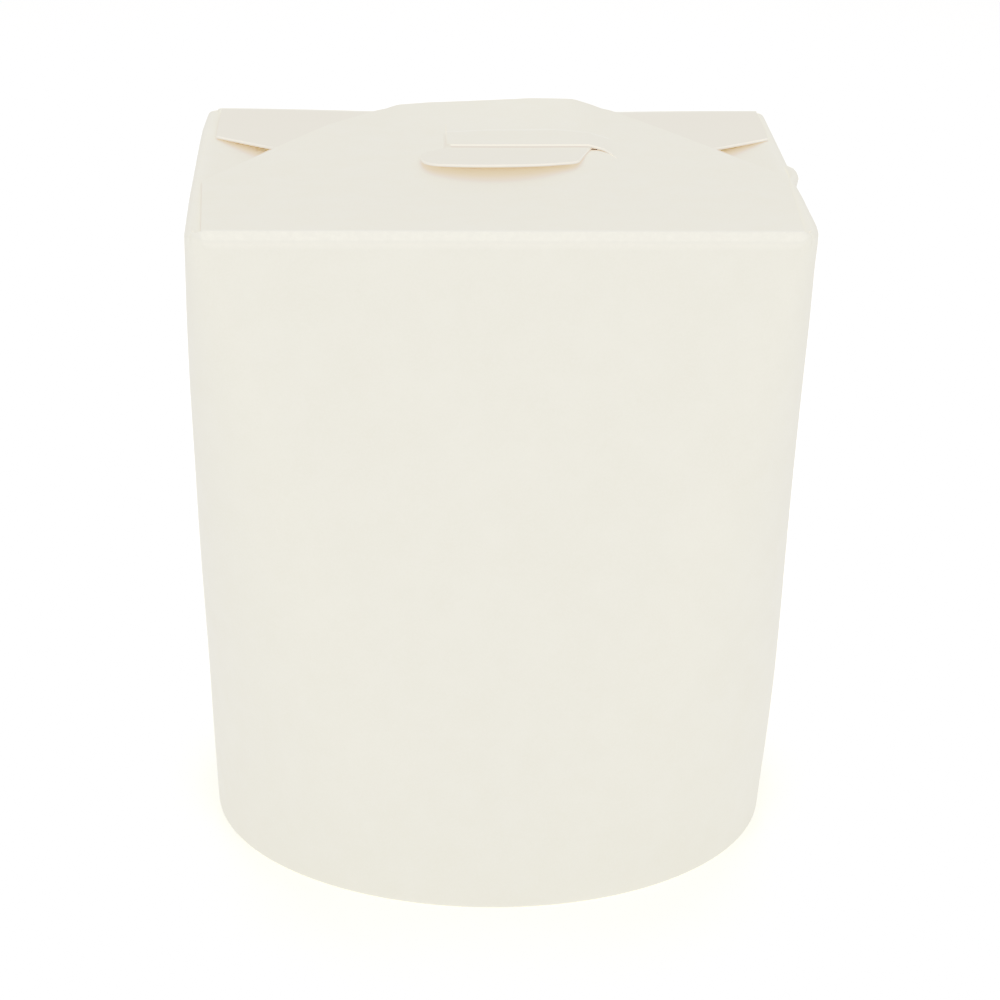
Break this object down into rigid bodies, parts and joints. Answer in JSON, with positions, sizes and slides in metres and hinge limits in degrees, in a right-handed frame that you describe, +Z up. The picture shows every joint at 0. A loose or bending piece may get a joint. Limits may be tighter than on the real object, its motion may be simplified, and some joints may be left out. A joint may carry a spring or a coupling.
{
  "type": "noodle takeaway box",
  "caption": "Shut noodle takeaway box of plain cream coated board: round foot, rectangular top closed by overlapping flaps with a tongue locked through a curved slot.",
  "frame": {"origin": "centre of the round foot, on the surface that the box stands on", "axes": "+Z up; -Y is the front, where the uppermost flap is hinged; +X to the right of someone who looks at the front"},
  "size_m": [0.105, 0.101, 0.1233],
  "materials": {
    "coated_board": "semi-matt coated, cream",
    "base_board": "matt, cream"
  },
  "bodies": {
    "root": {"carton": "coated_board", "base_disc": "base_board"}
  },
  "joints": []
}
